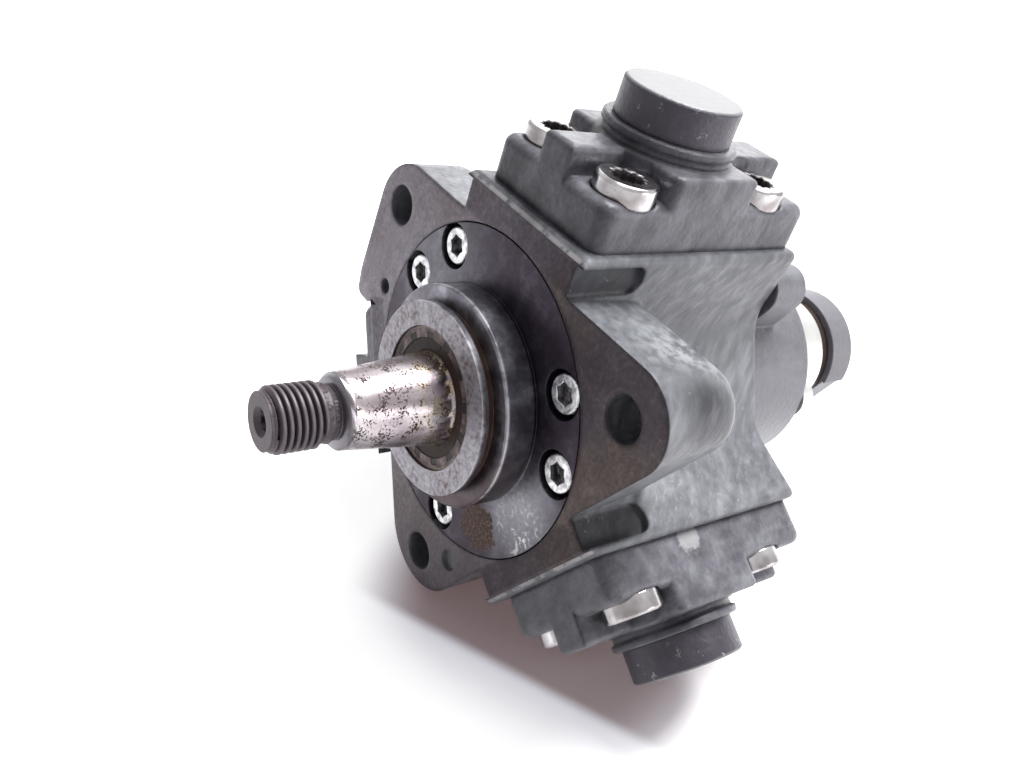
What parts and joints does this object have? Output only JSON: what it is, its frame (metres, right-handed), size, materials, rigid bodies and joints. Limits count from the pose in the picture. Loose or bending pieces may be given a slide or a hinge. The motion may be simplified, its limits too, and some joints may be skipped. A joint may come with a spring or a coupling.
{
  "type": "diesel injection pump",
  "caption": "High-pressure diesel injection pump with radial plunger heads, a flange with lugs, a tapered drive shaft and a metering valve at the rear.",
  "frame": {"origin": "centre of the three lug holes on the drive shaft's axis, in the plane of the mounting face", "axes": "+Y along the shaft into the pump, so the shaft's thread points to -Y; +Z along the top plunger head; +X to the right seen from the drive end"},
  "size_m": [0.1382, 0.1751, 0.1309],
  "materials": {
    "housing_iron": "black, rough cast, semi-gloss",
    "cover_steel": "turned, dulled, spots of rust",
    "shaft_steel": "ground, with dark pits",
    "head_forging": "black, semi-gloss",
    "bolt_chrome": "bright",
    "zinc_steel": "zinc plated",
    "hard_steel": "lapped",
    "spring_steel": "drawn wire",
    "bearing_bronze": "machined",
    "copper_wire": "wound",
    "seal_rubber": "matt",
    "rear_alloy": "cast",
    "connector_plastic": "moulded"
  },
  "bodies": {
    "pump_body": {"housing": "housing_iron", "front_cover": "cover_steel", "cover_screws": "zinc_steel", "cover_seal_ring": "seal_rubber", "shaft_seal_case": "cover_steel", "shaft_seal_lip": "seal_rubber", "seal_garter_spring": "spring_steel", "front_bush": "bearing_bronze", "rear_bush": "bearing_bronze", "thrust_washers": "bearing_bronze", "head_bolts": "bolt_chrome", "head_seal_rings": "seal_rubber", "discharge_plugs": "zinc_steel", "rear_cover": "rear_alloy", "rear_cover_screws": "zinc_steel", "rear_seal_ring": "seal_rubber", "metering_valve_body": "zinc_steel", "metering_valve_screws": "zinc_steel", "solenoid_coil": "copper_wire", "solenoid_core": "hard_steel", "metering_spring": "spring_steel", "valve_seal_washer": "seal_rubber", "connector": "connector_plastic", "connector_pins": "bearing_bronze", "inlet_union": "zinc_steel", "return_union": "zinc_steel", "outlet_union": "zinc_steel", "head_top": "head_forging", "head_right": "head_forging", "head_left": "head_forging", "valve_plug_top": "head_forging", "valve_plug_right": "head_forging", "valve_plug_left": "head_forging", "plunger_spring_top": "spring_steel", "plunger_spring_right": "spring_steel", "plunger_spring_left": "spring_steel", "suction_spring_top": "spring_steel", "suction_spring_right": "spring_steel", "suction_spring_left": "spring_steel", "discharge_spring_top": "spring_steel", "discharge_spring_right": "spring_steel", "discharge_spring_left": "spring_steel"},
    "shaft": {"drive_shaft": "shaft_steel"},
    "ring": {"cam_ring": "hard_steel", "cam_ring_bush": "bearing_bronze"},
    "top_plunger": {"plunger_top": "hard_steel", "plunger_foot_top": "hard_steel"},
    "right_plunger": {"plunger_right": "hard_steel", "plunger_foot_right": "hard_steel"},
    "left_plunger": {"plunger_left": "hard_steel", "plunger_foot_left": "hard_steel"},
    "top_suction": {"suction_valve_top": "hard_steel"},
    "right_suction": {"suction_valve_right": "hard_steel"},
    "left_suction": {"suction_valve_left": "hard_steel"},
    "top_discharge": {"discharge_ball_top": "hard_steel"},
    "right_discharge": {"discharge_ball_right": "hard_steel"},
    "left_discharge": {"discharge_ball_left": "hard_steel"},
    "metering": {"metering_piston": "hard_steel"}
  },
  "joints": [
    {"name": "shaft_spin", "type": "hinge", "parent": "pump_body", "child": "shaft", "pos_m": [0, 0, 0], "axis": [0, 1, 0], "continuous": true},
    {"name": "ring_orbit", "type": "hinge", "parent": "shaft", "child": "ring", "pos_m": [0, 0.0325, 0.00275], "axis": [0, 1, 0], "continuous": true},
    {"name": "top_plunger_slide", "type": "slide", "parent": "pump_body", "child": "top_plunger", "axis": [0, 0, 1], "range_m": [0, 0.0055], "stiffness_N_per_m": 12000, "springref_m": -0.004, "deforming": ["plunger_spring_top"]},
    {"name": "right_plunger_slide", "type": "slide", "parent": "pump_body", "child": "right_plunger", "axis": [0.866, 0, -0.5], "range_m": [0, 0.0055], "stiffness_N_per_m": 12000, "springref_m": -0.004, "deforming": ["plunger_spring_right"]},
    {"name": "left_plunger_slide", "type": "slide", "parent": "pump_body", "child": "left_plunger", "axis": [-0.866, 0, -0.5], "range_m": [0, 0.0055], "stiffness_N_per_m": 12000, "springref_m": -0.004, "deforming": ["plunger_spring_left"]},
    {"name": "top_suction_lift", "type": "slide", "parent": "pump_body", "child": "top_suction", "axis": [0, 0, -1], "range_m": [0, 0.001], "stiffness_N_per_m": 2000, "springref_m": -0.0015, "deforming": ["suction_spring_top"]},
    {"name": "right_suction_lift", "type": "slide", "parent": "pump_body", "child": "right_suction", "axis": [-0.866, 0, 0.5], "range_m": [0, 0.001], "stiffness_N_per_m": 2000, "springref_m": -0.0015, "deforming": ["suction_spring_right"]},
    {"name": "left_suction_lift", "type": "slide", "parent": "pump_body", "child": "left_suction", "axis": [0.866, 0, 0.5], "range_m": [0, 0.001], "stiffness_N_per_m": 2000, "springref_m": -0.0015, "deforming": ["suction_spring_left"]},
    {"name": "top_discharge_lift", "type": "slide", "parent": "pump_body", "child": "top_discharge", "axis": [0, 1, 0], "range_m": [0, 0.0008], "stiffness_N_per_m": 500, "springref_m": -0.002, "deforming": ["discharge_spring_top"]},
    {"name": "right_discharge_lift", "type": "slide", "parent": "pump_body", "child": "right_discharge", "axis": [0, 1, 0], "range_m": [0, 0.0008], "stiffness_N_per_m": 500, "springref_m": -0.002, "deforming": ["discharge_spring_right"]},
    {"name": "left_discharge_lift", "type": "slide", "parent": "pump_body", "child": "left_discharge", "axis": [0, 1, 0], "range_m": [0, 0.0008], "stiffness_N_per_m": 500, "springref_m": -0.002, "deforming": ["discharge_spring_left"]},
    {"name": "metering_slide", "type": "slide", "parent": "pump_body", "child": "metering", "axis": [0, 1, 0], "range_m": [0, 0.0024], "stiffness_N_per_m": 800, "springref_m": -0.004, "deforming": ["metering_spring"]}
  ],
  "couplings": [
    {"joint": "ring_orbit", "follows": "shaft_spin", "ratio": -1}
  ]
}
